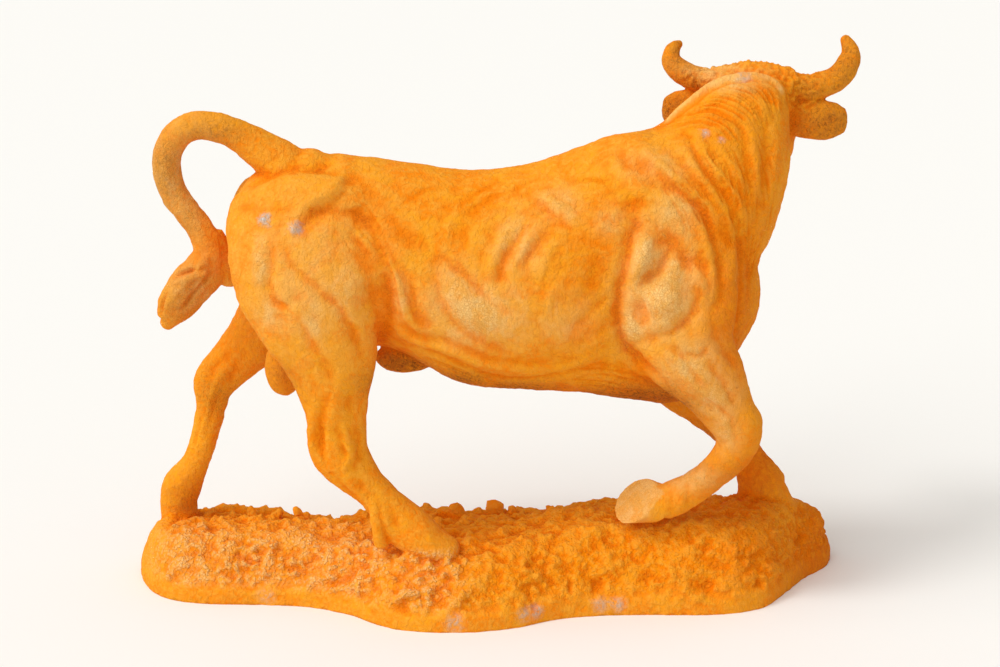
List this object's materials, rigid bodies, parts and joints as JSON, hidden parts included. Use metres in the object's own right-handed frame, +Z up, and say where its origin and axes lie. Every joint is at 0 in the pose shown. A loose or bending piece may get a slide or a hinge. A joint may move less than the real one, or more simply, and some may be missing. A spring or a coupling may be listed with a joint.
{
  "type": "animal sculpture",
  "caption": "Cast-iron bull sculpture, striding with its head turned away, on a piece of rough ground, orange with rust.",
  "frame": {"origin": "on the flat underside of the ground, under the middle of the bull's body", "axes": "+X towards the bull's breast, +Y towards its left side, where the head is turned, +Z up"},
  "size_m": [0.4489, 0.191, 0.3385],
  "materials": {
    "rusted_cast_iron": "bright orange rust, dry, worn to paler brown and bare iron on the high places"
  },
  "bodies": {
    "root": {"cast_bull": "rusted_cast_iron"}
  },
  "joints": []
}
